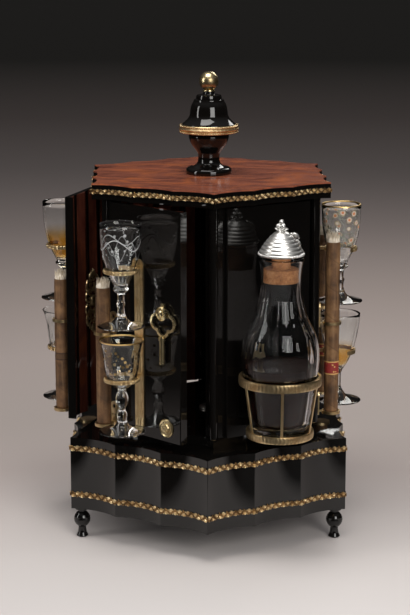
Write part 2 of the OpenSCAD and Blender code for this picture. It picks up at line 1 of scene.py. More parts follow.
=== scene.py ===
# %% [markdown]
# A six-sided liqueur and cigar tower: black lacquer, red burr, gilt trim and clear glass.
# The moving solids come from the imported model. This script adds the looks: the finer
# ornament, the glass, the leaf and the finishes, all in metres and in the same frame.

import random
from math import atan2, cos, degrees, pi, radians, sin, sqrt

import bmesh
import bpy
from mathutils import Matrix, Vector


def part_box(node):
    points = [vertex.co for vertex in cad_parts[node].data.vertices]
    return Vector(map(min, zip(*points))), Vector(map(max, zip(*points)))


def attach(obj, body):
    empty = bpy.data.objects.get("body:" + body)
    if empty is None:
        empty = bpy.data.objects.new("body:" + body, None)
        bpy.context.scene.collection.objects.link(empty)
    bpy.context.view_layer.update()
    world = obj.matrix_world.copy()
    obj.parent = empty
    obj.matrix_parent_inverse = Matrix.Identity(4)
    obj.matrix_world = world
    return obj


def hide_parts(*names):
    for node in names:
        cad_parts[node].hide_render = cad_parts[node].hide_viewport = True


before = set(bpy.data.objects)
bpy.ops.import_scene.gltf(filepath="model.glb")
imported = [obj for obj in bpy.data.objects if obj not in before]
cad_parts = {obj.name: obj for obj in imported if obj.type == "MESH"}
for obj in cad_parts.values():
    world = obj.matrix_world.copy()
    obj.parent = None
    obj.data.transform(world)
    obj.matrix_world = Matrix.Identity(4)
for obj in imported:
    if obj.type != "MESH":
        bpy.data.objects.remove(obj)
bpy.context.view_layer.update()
MM = 0.001

# %% [markdown]
# The photograph was taken from a little above, with a long lens. A camera could be placed
# by eye, but here it was worked out from the corners of the lid and of the base, so that
# every measured edge falls on its own pixel. It comes first because all else is judged
# through it.

# %% Camera
scene = bpy.context.scene
camera_data = bpy.data.cameras.new("camera")
camera_data.lens = 1843 / 615 * 36
camera_data.sensor_width = 36
camera_data.sensor_fit = "AUTO"
camera = bpy.data.objects.new("camera", camera_data)
camera.location = (0.01298, -1.85995, 0.62733)
camera.rotation_euler = (pi / 2 - 0.2146, 0, 0.00908)
scene.collection.objects.link(camera)
scene.camera = camera
scene.view_settings.view_transform = "Standard"
print("lens", round(camera_data.lens, 1), "mm, looking down", round(degrees(0.2146), 1), "degrees")

# %% [markdown]
# Each door has its own small frame: the pivot pin is its origin, X points out of the flat
# black face that carries the holders, and Y runs from the pin to the free edge. The doors
# stand open by slightly different angles, as on the real piece. With these six frames
# every holder and glass can be drawn once and set down where it belongs. Three short
# functions shift, turn and size a thing in millimetres, and are chained with @.

# %% Door frames
SIDES = ["front_right", "right", "back_right", "back_left", "left", "front_left"]
OPENING_SHORT = [1, 0.5, 8, 1, 19.5, 16]
TURNED = 2.6
HINGE_R = 119.5
DOOR_Z = 116.1


def shift(x, y, z):
    return Matrix.Translation((x * MM, y * MM, z * MM))


def spin(angle, axis="Z"):
    return Matrix.Rotation(angle, 4, axis)


def sized(x, y, z):
    return Matrix.Diagonal((x * MM, y * MM, z * MM, 1))


def door_frame(k):
    corner = spin(radians(-90 + 60 * k + TURNED))
    pin = shift(HINGE_R, 0, DOOR_Z)
    return corner @ pin @ spin(radians(30 - OPENING_SHORT[k]))


def on_door(k, a, p, z):
    """The place of a thing on door k: a out of the face, p from the pin, z up, in mm."""
    return door_frame(k) @ shift(a, p, z)


for k, side in enumerate(SIDES):
    x, y, z = on_door(k, 0, 60, 114).translation
    print(side, "middle at", round(x, 3), round(y, 3), round(z, 3))

# %% [markdown]
# Finishes are made from shader nodes. Wiring nodes by hand is slow to write and hard to
# read, so one small class stands for a node's output and lets plain arithmetic add the
# Math nodes, and another holds the material and adds any other node by its type.

# %% Shader helpers


class Value:
    """One output of a node, which can be used in arithmetic."""

    def __init__(self, finish, socket):
        self.finish = finish
        self.socket = socket

    def sum(self, operation, *parts):
        return self.finish.add("ShaderNodeMath", {"operation": operation}, dict(enumerate(parts)))

    def __add__(self, other):
        return self.sum("ADD", self, other)

    def __sub__(self, other):
        return self.sum("SUBTRACT", self, other)

    def __rsub__(self, other):
        return self.sum("SUBTRACT", other, self)

    def __mul__(self, other):
        return self.sum("MULTIPLY", self, other)

    def __truediv__(self, other):
        return self.sum("DIVIDE", self, other)

    __radd__ = __add__
    __rmul__ = __mul__

    def rise(self, low, high):
        """0 below low, 1 above high, and an even rise between."""
        sockets = {"Value": self, "From Min": low, "From Max": high}
        return self.finish.add("ShaderNodeMapRange", {"clamp": True}, sockets)

    def fall(self, low, high):
        return 1 - self.rise(low, high)

    def size(self):
        return self.sum("ABSOLUTE", self)

    def wave(self):
        return self.sum("SINE", self)

    def root(self):
        return self.sum("SQRT", self)

    def fraction(self):
        return self.sum("FRACT", self)

    def most(self, other):
        return self.sum("MAXIMUM", self, other)


class Finish:
    """A material under construction."""

    def __init__(self, name, owner=None):
        self.material = owner or bpy.data.materials.new(name)
        self.material.use_nodes = True
        self.tree = self.material.node_tree
        self.tree.nodes.clear()

    def add(self, kind, settings=None, sockets=None, take=0):
        node = self.tree.nodes.new(kind)
        for key, value in (settings or {}).items():
            if key == "stops":
                ramp = node.color_ramp
                while len(ramp.elements) < len(value):
                    ramp.elements.new(1)
                for element, (place, colour) in zip(ramp.elements, value):
                    element.position = place
                    element.color = (*colour, 1)
            else:
                setattr(node, key, value)
        for key, value in (sockets or {}).items():
            if isinstance(value, Value):
                self.tree.links.new(value.socket, node.inputs[key])
            else:
                if isinstance(value, tuple) and node.inputs[key].type == "RGBA":
                    value = (*value, 1)
                node.inputs[key].default_value = value
        return Value(self, node.outputs[take]) if node.outputs else None

    def where(self, place=None, stretch=(1, 1, 1)):
        """Object coordinates, seen from a place on the part if one is given."""
        at = self.add("ShaderNodeTexCoord", take="Object")
        if place is None and stretch == (1, 1, 1):
            return at
        if place is not None:
            back = place.inverted()
            turn, move = tuple(back.to_euler()), tuple(back.translation)
            at = self.add("ShaderNodeMapping", None, {"Vector": at, "Rotation": turn, "Location": move})
        if stretch != (1, 1, 1):
            at = self.add("ShaderNodeMapping", None, {"Vector": at, "Scale": stretch})
        return at

    def parts(self, vector):
        node = self.add("ShaderNodeSeparateXYZ", None, {"Vector": vector}).socket.node
        return [Value(self, node.outputs[i]) for i in range(3)]

    def noise(self, scale, at=None, detail=3.0, warp=0.0, rough=0.5):
        sockets = {"Scale": scale, "Detail": detail, "Distortion": warp, "Roughness": rough}
        sockets["Vector"] = at or self.where()
        return self.add("ShaderNodeTexNoise", None, sockets)

    def cells(self, scale, at=None):
        sockets = {"Scale": scale, "Vector": at or self.where()}
        return self.add("ShaderNodeTexVoronoi", {"feature": "F1"}, sockets)

    def mix(self, factor, a, b):
        """A colour between a and b."""
        return self.add("ShaderNodeMix", {"data_type": "RGBA"}, {0: factor, 6: a, 7: b}, take=2)

    def ramp(self, value, stops):
        return self.add("ShaderNodeValToRGB", {"stops": stops}, {0: value})

    def bump(self, height, strength=0.3, depth=0.0005):
        sockets = {"Height": height, "Strength": strength, "Distance": depth}
        return self.add("ShaderNodeBump", None, sockets)

    def surface(self, **sockets):
        names = {key.replace("_", " ").title(): value for key, value in sockets.items()}
        names = {("IOR" if key == "Ior" else key): value for key, value in names.items()}
        return self.add("ShaderNodeBsdfPrincipled", None, names)

    def done(self, shader):
        self.add("ShaderNodeOutputMaterial", None, {"Surface": shader})
        return self.material


print("helpers ready")

# %% [markdown]
# The wood is ebonised: stained black, lacquered and polished until it mirrors the table.
# Almost all of its look is reflection, so the colour stays close to black and the care
# goes into the gloss: a faint unevenness of the surface, and hand marks in the roughness.

# %% Black lacquer


def lacquer(name="black_lacquer"):
    f = Finish(name)
    cloud = f.noise(22, detail=4)
    marks = f.noise(160, detail=2)
    colour = f.mix(cloud, (0.0022, 0.002, 0.0019), (0.0046, 0.0038, 0.0032))
    rough = 0.035 + 0.08 * cloud * marks
    flow = f.bump(f.noise(38, detail=1), strength=0.05, depth=0.002)
    return f.done(f.surface(base_color=colour, roughness=rough, normal=flow, ior=1.5))


BLACK = lacquer()

# %% [markdown]
# The top and the outside of the doors are veneered with a red-brown burr. A burr has
# short, curling streaks with orange flashes, so two noises are stretched along the leaf
# and one bends the other. On a door the veneer stops at the black frame, which one mask
# in the door's own coordinates decides. On the doors the veneer is also mixed most of the
# way to dark brown: that is painted shade, for the doors stand in shadow.

# %% Burr veneer


def burr_colour(f, at, along):
    bent = f.noise(16, at, detail=5, warp=1.6, rough=0.6)
    streak = f.noise(9, along, detail=7, warp=2.2, rough=0.62)
    pores = f.noise(420, along, detail=2)
    red = f.ramp(
        streak,
        [(0.3, (0.08, 0.021, 0.013)), (0.43, (0.17, 0.052, 0.033)), (0.55, (0.25, 0.078, 0.045)),
         (0.68, (0.36, 0.098, 0.04)), (0.8, (0.2, 0.054, 0.03))],
    )
    flash = bent.rise(0.52, 0.66)
    colour = f.mix(flash * 0.45, red, (0.5, 0.135, 0.034))
    shade = bent.fall(0.3, 0.45)
    colour = f.mix(shade * 0.5, colour, (0.11, 0.028, 0.02))
    return f.mix(pores.rise(0.6, 0.75) * 0.35, colour, (0.05, 0.014, 0.01)), streak


def lid_burr():
    f = Finish("lid_burr")
    colour, streak = burr_colour(f, f.where(), f.where(stretch=(1.3, 6.0, 1.0)))
    relief = f.bump(streak, strength=0.06, depth=0.001)
    return f.done(f.surface(base_color=colour, roughness=0.16 + 0.1 * streak, normal=relief, ior=1.5))


def door_finish(k):
    f = Finish("door_finish_" + SIDES[k])
    at = f.where(door_frame(k))
    a, p, z = f.parts(at)
    colour, streak = burr_colour(f, at, f.where(door_frame(k), (3.0, 5.0, 1.2)))
    leaf = a.fall(0.0006, 0.0009) * p.rise(0.0135, 0.0138) * p.fall(0.1055, 0.1058)
    cloud = f.noise(22, detail=4)
    black = f.mix(cloud, (0.0022, 0.002, 0.0019), (0.0046, 0.0038, 0.0032))
    rough = 0.04 + 0.05 * cloud
    flow = f.bump(f.noise(30, detail=1), strength=0.04, depth=0.002)
    # Painted shade: the door veneer is mixed 70% of the way to dark brown, as the doors stand in shadow.
    colour = f.mix(leaf, black, f.mix(0.7, colour, (0.03, 0.006, 0.004)))
    return f.done(f.surface(base_color=colour, roughness=rough, normal=flow, ior=1.4))


LID_BURR = lid_burr()
DOOR_FINISHES = [door_finish(k) for k in range(6)]

# %% [markdown]
# Gilt bronze is never one yellow. The tops of the chasing are rubbed bright, the hollows
# keep a brown wash, and the skin is finely pitted. One noise sets bright and brown areas
# and a much finer one roughens the skin. Brass and silver are made the same way. One much
# darker gilt is painted shade: it dresses the leaves and strip behind the garland flowers.

# %% Metals


def metal(name, bright, brown, shine=(0.2, 0.42), grain=900, tarnish=(0.45, 0.66), dent=0.25):
    f = Finish(name)
    patch = f.noise(70, detail=4).rise(*tarnish)
    fine = f.noise(grain, detail=3)
    colour = f.mix(patch * 0.65 + fine * 0.25, bright, brown)
    low, high = shine
    rough = low + (high - low) * (0.5 * patch + 0.5 * fine)
    skin = f.bump(fine, strength=dent, depth=0.0003)
    return f.done(f.surface(base_color=colour, metallic=1.0, roughness=rough, normal=skin))


GILT = metal("gilt_bronze", (0.95, 0.74, 0.42), (0.6, 0.38, 0.17), (0.26, 0.42))
CHASED = metal("chased_gilt", (0.97, 0.76, 0.44), (0.38, 0.21, 0.08), (0.26, 0.46), 520, (0.42, 0.66), 0.5)
# Painted shade: this near-black brown gilt goes on the leaves and strip behind the garland flowers, so the
# gaps read dark.
GAP_SHADE_GILT = metal("gap_shade_gilt", (0.4, 0.24, 0.1), (0.08, 0.045, 0.022), (0.35, 0.6), 520,
               (0.35, 0.6), 0.5)
BRASS = metal("aged_brass", (0.80, 0.66, 0.38), (0.33, 0.24, 0.12), (0.22, 0.4), 600)
SILVER = metal("silver_plate", (0.97, 0.96, 0.94), (0.72, 0.69, 0.64), (0.32, 0.5), 500, (0.55, 0.8), 0.15)
STEEL = metal("pivot_steel", (0.55, 0.53, 0.5), (0.25, 0.23, 0.21), (0.25, 0.4))

# %% [markdown]
# Clear glass is a transmitting surface with next to no colour. What makes old table glass
# real is what has been done to it: wheel engraving that leaves a frosted line, painted
# flowers, a gilt rim, a faint amber stain. Each is a mask over the glass, built in the
# glass's own frame from its height and from noise, and a Mix Shader lays the paint on.

# %% Glass


def clear(f, tint=(0.97, 0.985, 0.98), rough=0.0, normal=None, ior=1.47):
    more = {"normal": normal} if normal is not None else {}
    return f.surface(base_color=tint, roughness=rough, transmission_weight=1.0, ior=ior, **more)


def plain_glass(name, tint=(0.97, 0.985, 0.98), ior=1.47):
    f = Finish(name)
    seeds = f.noise(90, detail=1)
    shade = f.mix(seeds, tint, tuple(0.985 * c for c in tint))
    return f.done(clear(f, shade, ior=ior))


def coat(f, under, over, mask):
    return f.add("ShaderNodeMixShader", None, {0: mask, 1: under, 2: over})


def leaf_gold(f):
    return f.surface(base_color=(0.9, 0.62, 0.26), metallic=1.0, roughness=0.3)


def engraved_glass(name, k, lift):
    """A trailing vine cut with a wheel: thin frosted lines and small leaves."""
    f = Finish(name)
    at = f.where(on_door(k, 31, 52.5, lift))
    x, y, z = f.parts(at)
    turn = f.add("ShaderNodeMath", {"operation": "ARCTAN2"}, {0: y, 1: x})
    stem = z - 0.082 - 0.0055 * (3 * turn).wave()
    tendril = z - 0.076 - 0.009 * (5 * turn + 1.1).wave()
    line = stem.size().fall(0.00025, 0.0006).most(0.7 * tendril.size().fall(0.0002, 0.0005))
    leaf = f.cells(120, at).fall(0.16, 0.2) * z.rise(0.066, 0.068) * z.fall(0.094, 0.096)
    frost = f.surface(base_color=(0.85, 0.87, 0.88), roughness=0.5, transmission_weight=0.35, ior=1.47)
    mask = (line * z.rise(0.062, 0.064)).most(0.75 * leaf)
    return f.done(coat(f, clear(f), frost, mask * 0.85))


def painted_glass(name, k, lift, rim, low):
    """Small enamel flowers and gilt leaves below a gilt rim."""
    f = Finish(name)
    at = f.where(on_door(k, 31, 52.5, lift))
    x, y, z = f.parts(at)
    spots = f.cells(95, at)
    band = z.rise(low, low + 0.002) * z.fall(rim - 0.005, rim - 0.0035)
    colour = f.ramp(
        spots,
        [(0.0, (0.75, 0.42, 0.1)), (0.1, (0.62, 0.18, 0.06)), (0.2, (0.66, 0.6, 0.52)),
         (0.3, (0.5, 0.36, 0.16)), (0.42, (0.33, 0.36, 0.3))],
    )
    paint = f.surface(base_color=colour, roughness=0.45)
    vine = (f.noise(60, at, detail=2, warp=1.0) - 0.5).size().fall(0.008, 0.016)
    mask = spots.fall(0.25, 0.3).most(0.8 * vine) * band
    decorated = coat(f, clear(f), paint, mask * 0.85)
    return f.done(coat(f, decorated, leaf_gold(f), z.rise(rim - 0.0016, rim - 0.0012)))


def gilded_glass(name, k, lift, rim):
    """A cut bowl with flecks of gold in the cuts and a gilt rim."""
    f = Finish(name)
    at = f.where(on_door(k, 31, 52.5, lift))
    x, y, z = f.parts(at)
    flecks = f.cells(150, at).fall(0.18, 0.24) * z.rise(0.05, 0.054) * z.fall(0.084, 0.086)
    mask = (0.7 * flecks).most(z.rise(rim - 0.0016, rim - 0.0012))
    return f.done(coat(f, clear(f), leaf_gold(f), mask))


def stained_glass(name, k, lift, low, high):
    """Clear glass with an amber stain at the bottom of the bowl."""
    f = Finish(name)
    at = f.where(on_door(k, 31, 52.5, lift))
    x, y, z = f.parts(at)
    stain = z.rise(low, low + 0.004) * z.fall(high - 0.012, high)
    tint = f.mix(stain, (0.97, 0.985, 0.98), (0.93, 0.66, 0.24))
    return f.done(clear(f, tint))


PLAIN_GLASS = plain_glass("clear_glass")
DECANTER_GLASS = plain_glass("decanter_glass", (0.955, 0.975, 0.985), 1.3)

# %% [markdown]
# The liquor is nearly opaque and very dark red-brown. The cork is pale bark with dark
# pits. A cigar is rolled leaf: long fine veins along it, blotches across it, and a wrapper
# edge that winds up like a barber's pole. Its frayed head is paler and quite matt.

# %% Liquor, cork and leaf


def liquor():
    f = Finish("dark_liquor")
    cloud = f.noise(30, detail=2)
    colour = f.mix(cloud, (0.008, 0.002, 0.001), (0.016, 0.004, 0.002))
    return f.done(f.surface(base_color=colour, roughness=0.08, ior=1.2))


def cork():
    f = Finish("cork_bark")
    grain = f.noise(140, detail=5, rough=0.65)
    pits = f.cells(420).fall(0.12, 0.3) * f.noise(90).rise(0.45, 0.6)
    bark = [(0.3, (0.26, 0.09, 0.03)), (0.5, (0.5, 0.21, 0.075)), (0.7, (0.68, 0.34, 0.15))]
    colour = f.ramp(grain, bark)
    colour = f.mix(pits * 0.8, colour, (0.07, 0.025, 0.01))
    return f.done(f.surface(base_color=colour, roughness=0.8, normal=f.bump(grain - pits, 0.5, 0.0006)))


def wrapper_leaf(name, k, a, p, band=None, colours=None):
    f = Finish(name)
    at = f.where(on_door(k, a, p, 6.3))
    x, y, z = f.parts(at)
    turn = f.add("ShaderNodeMath", {"operation": "ARCTAN2"}, {0: y, 1: x}) / (2 * pi)
    blotch = f.noise(55, at, detail=4, rough=0.6)
    veins = f.noise(300, f.where(on_door(k, a, p, 6.3), (1.0, 1.0, 0.06)), detail=3)
    seam = (z / 0.03 + turn).fraction().fall(0.0, 0.06)
    browns = [(0.34, (0.06, 0.027, 0.01)), (0.5, (0.135, 0.064, 0.024)), (0.66, (0.24, 0.125, 0.05))]
    leaf = f.ramp(blotch, browns)
    leaf = f.mix(veins.rise(0.5, 0.7) * 0.4, leaf, (0.36, 0.21, 0.095))
    leaf = f.mix(seam * 0.6, leaf, (0.06, 0.028, 0.011))
    if band:
        low, high = band
        rings = z.rise(low, low + 0.0003) * z.fall(high - 0.0003, high)
        middle = z.rise(low + 0.0012, low + 0.0015) * z.fall(high - 0.0015, high - 0.0012)
        dots = f.cells(260, at).fall(0.2, 0.26)
        inner = f.mix(dots, colours[1], colours[0])
        paper = f.mix(middle, colours[0], inner)
        leaf = f.mix(rings, leaf, paper)
    relief = f.bump(veins + 0.5 * blotch - 0.8 * seam, 0.45, 0.0005)
    return f.done(f.surface(base_color=leaf, roughness=0.55 + 0.2 * blotch, normal=relief))


def frayed_leaf():
    f = Finish("frayed_leaf")
    strand = f.noise(500, f.where(stretch=(1, 1, 0.2)), detail=3)
    colour = f.ramp(strand, [(0.3, (0.4, 0.31, 0.2)), (0.55, (0.7, 0.62, 0.5)), (0.8, (0.86, 0.81, 0.72))])
    return f.done(f.surface(base_color=colour, roughness=0.9, normal=f.bump(strand, 0.6, 0.0005)))


LIQUOR = liquor()
CORK = cork()
FRAYED = frayed_leaf()
print(len(bpy.data.materials), "materials so far")

# %% [markdown]
# Most of the pieces are turned: they have one profile that goes round an upright axis. A
# profile could be drawn as a curve object, but spinning a row of edges with bmesh keeps the
# number of faces in hand. A few measured points are eased into a smooth line first.

# %% Turning


def between(p, q, r, s, t):
    """A place from q to r on a smooth curve that also minds its neighbours p and s."""
    bend = (2 * p - 5 * q + 4 * r - s) * t * t
    return 0.5 * (2 * q + (r - p) * t + bend + (3 * q - p - 3 * r + s) * t**3)


def eased(points, cuts=4):
    """A smooth line through a few measured points (radius, height), in mm."""
    row = [points[0], *points, points[-1]]
    line = []
    for a, b, c, d in zip(row, row[1:], row[2:], row[3:]):
        for i in range(cuts):
            t = i / cuts
            line.append(tuple(between(*four, t) for four in zip(a, b, c, d)))
    return line + [tuple(points[-1])]


def turned(profile, steps=64, closed=False):
    """Spins a profile of (radius, height) in mm about the upright axis."""
    bm = bmesh.new()
    line = [bm.verts.new((r * MM, 0, z * MM)) for r, z in profile]
    pairs = list(zip(line, line[1:])) + ([(line[-1], line[0])] if closed else [])
    edges = [bm.edges.new(pair) for pair in pairs]
    bmesh.ops.spin(
        bm, geom=line + edges, cent=(0, 0, 0), axis=(0, 0, 1), angle=2 * pi, steps=steps, use_merge=True
    )
    bmesh.ops.remove_doubles(bm, verts=bm.verts, dist=2e-6)
    bmesh.ops.recalc_face_normals(bm, faces=bm.faces)
    return bm


def piece(name, bm, finish, body, stands_for=(), place=None, crease=40):
    """Makes a finished object at the origin, tells it what it rides on and hides the imported parts it
    stands for.
    """
    if place is not None:
        bmesh.ops.transform(bm, matrix=place, verts=bm.verts)
    mesh = bpy.data.meshes.new(name)
    bm.to_mesh(mesh)
    bm.free()
    mesh.materials.append(finish)
    mesh.polygons.foreach_set("use_smooth", [True] * len(mesh.polygons))
    mesh.set_sharp_from_angle(angle=radians(crease))
    made = bpy.data.objects.new(name, mesh)
    scene.collection.objects.link(made)
    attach(made, body)
    if stands_for:
        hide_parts(*stands_for)
    print(name, len(mesh.polygons), "faces")
    return made


def scatter(bm, shape, places):
    """Adds a copy of a small shape at each place."""
    for place in places:
        one = shape.copy()
        one.transform(place)
        bm.from_mesh(one)
        bpy.data.meshes.remove(one)
    return bm


def kept(bm, name):
    """Stores a small shape so that it can be scattered."""
    mesh = bpy.data.meshes.new(name)
    bm.to_mesh(mesh)
    bm.free()
    return mesh


# %% [markdown]
# Base and lid are edged with cast garlands: small flower heads half a centimetre apart,
# by turns above and below the middle, like a wound rope. A displaced strip would look
# woolly, so each flower is a real form of some forty faces, pulled into petals. Leaves and
# a strip lie behind them in a much darker gilt: painted shade, which keeps the gaps dark.
# They follow the scalloped edge, each one turned a little differently, as chasing is.

# %% Flower, leaf and bead


def flower_shape(petals=5):
    bm = bmesh.new()
    bmesh.ops.create_circle(bm, cap_ends=True, segments=2 * petals, radius=1)
    heart = bm.faces[:]
    bmesh.ops.inset_region(bm, faces=heart, thickness=0.34, depth=0, use_boundary=True)
    bmesh.ops.inset_region(bm, faces=heart, thickness=0.36, depth=0, use_boundary=True)
    bmesh.ops.poke(bm, faces=heart)
    for v in bm.verts:
        r = v.co.xy.length
        lobe = cos(petals * atan2(v.co.y, v.co.x))
        if r > 0.9:
            v.co *= 0.86 + 0.16 * lobe
            v.co.z = 0.16 + 0.1 * lobe
        elif r > 0.5:
            v.co.z = 0.46 + 0.16 * lobe
        elif r > 0.05:
            v.co.z = 0.24
        else:
            v.co.z = 0.62
    rim = [e for e in bm.edges if e.is_boundary]
    grown = bmesh.ops.extrude_edge_only(bm, edges=rim)["geom"]
    low = [g for g in grown if isinstance(g, bmesh.types.BMVert)]
    for v in low:
        v.co.z = -0.25
    bmesh.ops.holes_fill(bm, edges=[e for e in bm.edges if e.is_boundary])
    bmesh.ops.recalc_face_normals(bm, faces=bm.faces)
    return kept(bm, "flower")


def leaf_shape():
    bm = bmesh.new()
    bmesh.ops.create_uvsphere(bm, u_segments=8, v_segments=5, radius=1)
    bmesh.ops.rotate(bm, verts=bm.verts, matrix=Matrix.Rotation(pi / 2, 3, "Y"))
    for v in bm.verts:
        slim = 1 - 0.35 * v.co.x**2
        v.co.y *= 0.42 * slim
        v.co.z = 0.3 * v.co.z + 0.22 * (1 - v.co.x**2) - 0.16 * abs(v.co.y)
        v.co.y += 0.22 * v.co.x * v.co.x
    return kept(bm, "leaf")


def bead_shape():
    bm = bmesh.new()
    bmesh.ops.create_icosphere(bm, subdivisions=2, radius=1)
    for v in bm.verts:
        v.co.z *= 0.8
    return kept(bm, "bead")


FLOWER = flower_shape()
LEAF = leaf_shape()
BEAD = bead_shape()
print("flower", len(FLOWER.polygons), "leaf", len(LEAF.polygons), "faces each")

# %% The scalloped edge that the garlands follow


def edge_depth(s, corner_r, depth):
    """How far the wood reaches from the middle at s along a side, with its slope."""
    chord = corner_r / 3
    flat = corner_r * cos(radians(30))
    half = (chord - 0.8) / 2
    r = (half * half + depth * depth) / (2 * depth)
    t = (s + chord / 2) % chord - chord / 2
    if abs(t) >= half or abs(s) > 1.5 * chord:
        return flat, 0.0
    drop = sqrt(r * r - t * t)
    return flat - depth + r - drop, t / drop


def edge_places(corner_r, depth, level, pitch, proud, turned_by=0.0):
    """Evenly spaced places on the edge, X along it, Y up and Z straight out of it, in mm."""
    places = []
    count = round(corner_r / pitch)
    for side in range(6):
        for i in range(count):
            s = (i + 0.5) * corner_r / count - corner_r / 2
            n, slope = edge_depth(s, corner_r, depth)
            turn = spin(radians(60 * side) + turned_by)
            spot = shift(n + proud, s, level)
            face = spin(-atan2(slope, 1))
            upright = Matrix(((0, 0, 1, 0), (1, 0, 0, 0), (0, 1, 0, 0), (0, 0, 0, 1)))
            places.append(turn @ spot @ face @ upright)
    return places


def garland(levels, corner_r, depth, pitch, high, turned_by=0.0, seed=3):
    """Blossoms wound like a rope, and apart from them the leaves and the backing strip."""
    rng = random.Random(seed)
    blossoms, foliage = bmesh.new(), bmesh.new()
    size = 0.5 * high
    for level in levels:
        stations = edge_places(corner_r, depth, level, pitch, 0.5, turned_by)
        scatter(blossoms, FLOWER, [
            p @ shift(0, (1 if i % 2 else -1) * 0.3 * high, 0)
            @ spin(rng.uniform(0, 2 * pi)) @ spin(rng.uniform(-0.3, 0.3), "X")
            @ sized(size, size, 1.3 * size * rng.uniform(0.8, 1.1))
            for i, p in enumerate(stations)])
        scatter(blossoms, BEAD, [
            p @ shift(pitch / 2, way * high * 0.45, 0.9)
            @ sized(0.24 * size, 0.24 * size, 0.24 * size)
            for p in stations for way in (-1, 1)])
        scatter(foliage, LEAF, [
            p @ shift(0, (-1 if i % 2 else 1) * 0.42 * high, 0.1)
            @ spin((1 if i % 2 else -1) * rng.uniform(0.3, 1.0))
            @ sized(0.95 * size, 0.95 * size, 0.7 * size)
            for i, p in enumerate(stations)])
        foliage.from_mesh(edge_strip(level, corner_r, depth, 0.7 * high, 0.9, turned_by))
    return blossoms, foliage


def edge_strip(level, corner_r, depth, high, thick, turned_by):
    """The thin backing that the cast flowers are soldered to."""
    bm = bmesh.new()
    line = []
    for side in range(6):
        turn = spin(radians(60 * side) + turned_by)
        for i in range(24):
            s = (i / 24 - 0.5) * corner_r
            n, slope = edge_depth(s, corner_r, depth)
            line.append(bm.verts.new(turn @ Vector(((n + 0.05) * MM, s * MM, (level - high / 2) * MM))))
    edges = [bm.edges.new(pair) for pair in zip(line, line[1:] + line[:1])]
    top = bmesh.ops.extrude_edge_only(bm, edges=edges)["geom"]
    upper = [g for g in top if isinstance(g, bmesh.types.BMVert)]
    bmesh.ops.translate(bm, verts=upper, vec=(0, 0, high * MM))
    bmesh.ops.recalc_face_normals(bm, faces=bm.faces)
    bmesh.ops.solidify(bm, geom=bm.faces[:], thickness=-thick * MM)
    bmesh.ops.recalc_face_normals(bm, faces=bm.faces)
    return kept(bm, "strip")


blossoms, foliage = garland((46.3, 94.5), 160, 5.5, 4.6, 4.3)
piece("base_flower_bands", blossoms, CHASED, "base", ["base_garlands"])
# The leaves and strip take the darker gilt: painted shade in the gaps of the garland.
piece("base_leaf_bands", foliage, GAP_SHADE_GILT, "base")
blossoms, foliage = garland((353.9,), 135.8, 5, 3.9, 3.6, radians(TURNED), 8)
piece("lid_flower_band", blossoms, CHASED, "carousel", ["lid_garland"])
# The lid's leaves and strip also take the darker gilt: painted shade in the gaps.
piece("lid_leaf_band", foliage, GAP_SHADE_GILT, "carousel")

# %% [markdown]
# The finial is turned in one piece of wood, with a gilt ring round its widest part and a
# gilt ball on top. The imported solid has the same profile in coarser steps; here it is
# eased so that the lacquer shows unbroken bands of light.

# %% Finial

FINIAL_PLACE = shift(0, 0, 362.0)
foot = [(4.05, 0), (22.4, 0), (23.2, 0.8), (23.4, 2.6), (22.8, 4.6), (21.5, 5.9)]
neck = eased([(21.3, 5.95), (16.5, 6.9), (12.8, 9.3), (11.2, 12.2), (10.8, 16), (11, 20)], 4)
bowl = eased([(11.2, 20.8), (13.6, 24.4), (17.3, 29), (19.6, 34), (20.3, 38.6), (17.6, 40.4)], 4)
ring_seat = [(20.5, 40.9), (27.1, 41.5), (27.1, 49.8)]
dome = eased([(27, 50.2), (24.6, 52.2), (21.6, 55.2), (19.6, 58.6),
              (18.9, 63), (17.9, 68.5), (15.6, 73)], 4)
cap_line = [(15.2, 74.6), (12.9, 75.3), (12.9, 77.4), (12.3, 79.2),
            (9.2, 80), (6.2, 80.4), (5.4, 83), (4.05, 83)]
finial = turned(foot + neck + bowl + ring_seat + dome + cap_line, 96, closed=True)
piece("turned_finial", finial, BLACK, "finial", ["finial"],
      FINIAL_PLACE, 32)

ring = turned([(27.15, 41.6), (28.6, 41.6), (29.3, 42.6), (28.9, 43.5), (29.6, 44.4), (30.2, 45.6),
               (29.6, 46.9), (28.9, 47.8), (29.3, 48.7), (28.4, 49.7), (27.15, 49.7)], 96, closed=True)
for z, count, size in ((42.6, 84, 0.85), (48.7, 84, 0.85), (45.6, 44, 1.15)):
    scatter(ring, BEAD, [
        spin(2 * pi * i / count) @ shift(29.3, 0, z)
        @ sized(size, size * (1.7 if count == 44 else 1), size)
        for i in range(count)])
piece("beaded_ring", ring, CHASED, "finial", ["finial_ring"], FINIAL_PLACE)

ball_foot = [(0, 83), (6.3, 83), (6.4, 83.5), (6.2, 84.2), (4.5, 84.6)]
ball_round = eased([(4.6, 84.7), (7.5, 86.9), (9.3, 90), (9.8, 93.2),
                    (9.2, 96.6), (7.4, 99.6), (4.6, 101.9), (0, 103)], 5)
ball = turned(ball_foot + ball_round, 64)
ball_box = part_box("finial_ball")
print("ball reaches", ball_box[1][2], "m")
piece("gilt_ball", ball, BRASS, "finial", ["finial_ball"], FINIAL_PLACE)

# %% [markdown]
# A stemmed glass is one closed skin: foot, turned stem, outside of the bowl, over the rim
# and down the inside. Light bends at both skins, so a single sheet would look like a soap
# bubble. Each glass is spun from its profile, then the cutter's work is done by moving the
# points of the outer skin inwards in flutes or in a net of cut diamonds.

